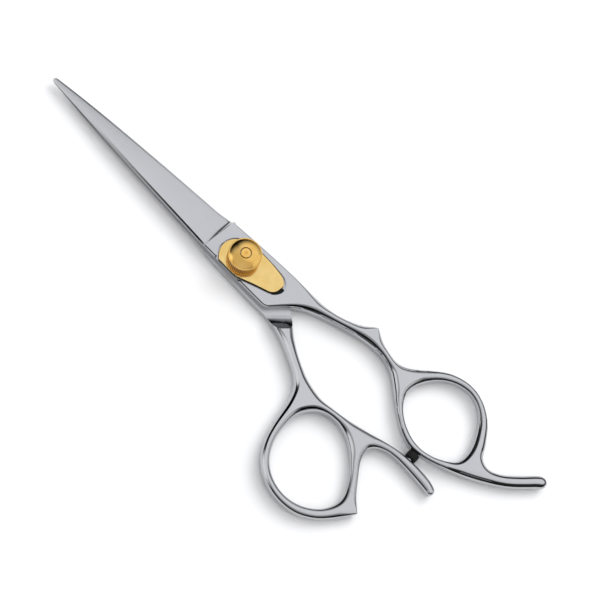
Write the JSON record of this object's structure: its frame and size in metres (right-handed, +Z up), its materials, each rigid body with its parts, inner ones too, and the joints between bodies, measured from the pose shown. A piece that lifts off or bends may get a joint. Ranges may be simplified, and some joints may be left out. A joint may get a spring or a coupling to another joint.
{
  "type": "hair cutting shears",
  "caption": "Straight-bladed hair cutting shears with offset finger rings, a fixed finger tang, a thumb-side prong with a rubber bumper and a gilt click tension knob.",
  "frame": {"origin": "centre of the pivot screw's flat head, on the surface the closed shears lie on; Z through it is the pivot axis", "axes": "+X along the blades to the tip, +Y towards the thumb ring, +Z up through the tension knob"},
  "size_m": [0.1681, 0.0586, 0.0102],
  "materials": {
    "polished_steel": "fine satin steel with polished edges",
    "screw_steel": "turned and polished steel",
    "spring_steel": "plain hardened steel",
    "gilt": "polished gold-tone plating",
    "nylon": "matte natural nylon",
    "rubber": "matte black rubber"
  },
  "bodies": {
    "finger_side": {"finger_half": "polished_steel", "pivot_screw": "screw_steel", "bearing_washer": "nylon", "base_plate": "gilt", "spring_washer": "spring_steel", "detent_spring": "spring_steel", "detent_ball": "spring_steel", "lock_screw": "gilt"},
    "thumb_side": {"thumb_half": "polished_steel", "pivot_bushing": "nylon", "bumper": "rubber", "bumper_stud": "screw_steel"},
    "knob": {"tension_knob": "gilt"}
  },
  "joints": [
    {"name": "pivot", "type": "hinge", "parent": "finger_side", "child": "thumb_side", "pos_m": [0, 0, 0.0025], "axis": [0, 0, -1], "range_deg": [0, 120]},
    {"name": "tension", "type": "hinge", "parent": "finger_side", "child": "knob", "pos_m": [0, 0, 0.007], "axis": [0, 0, 1], "range_deg": [-180, 180]}
  ]
}
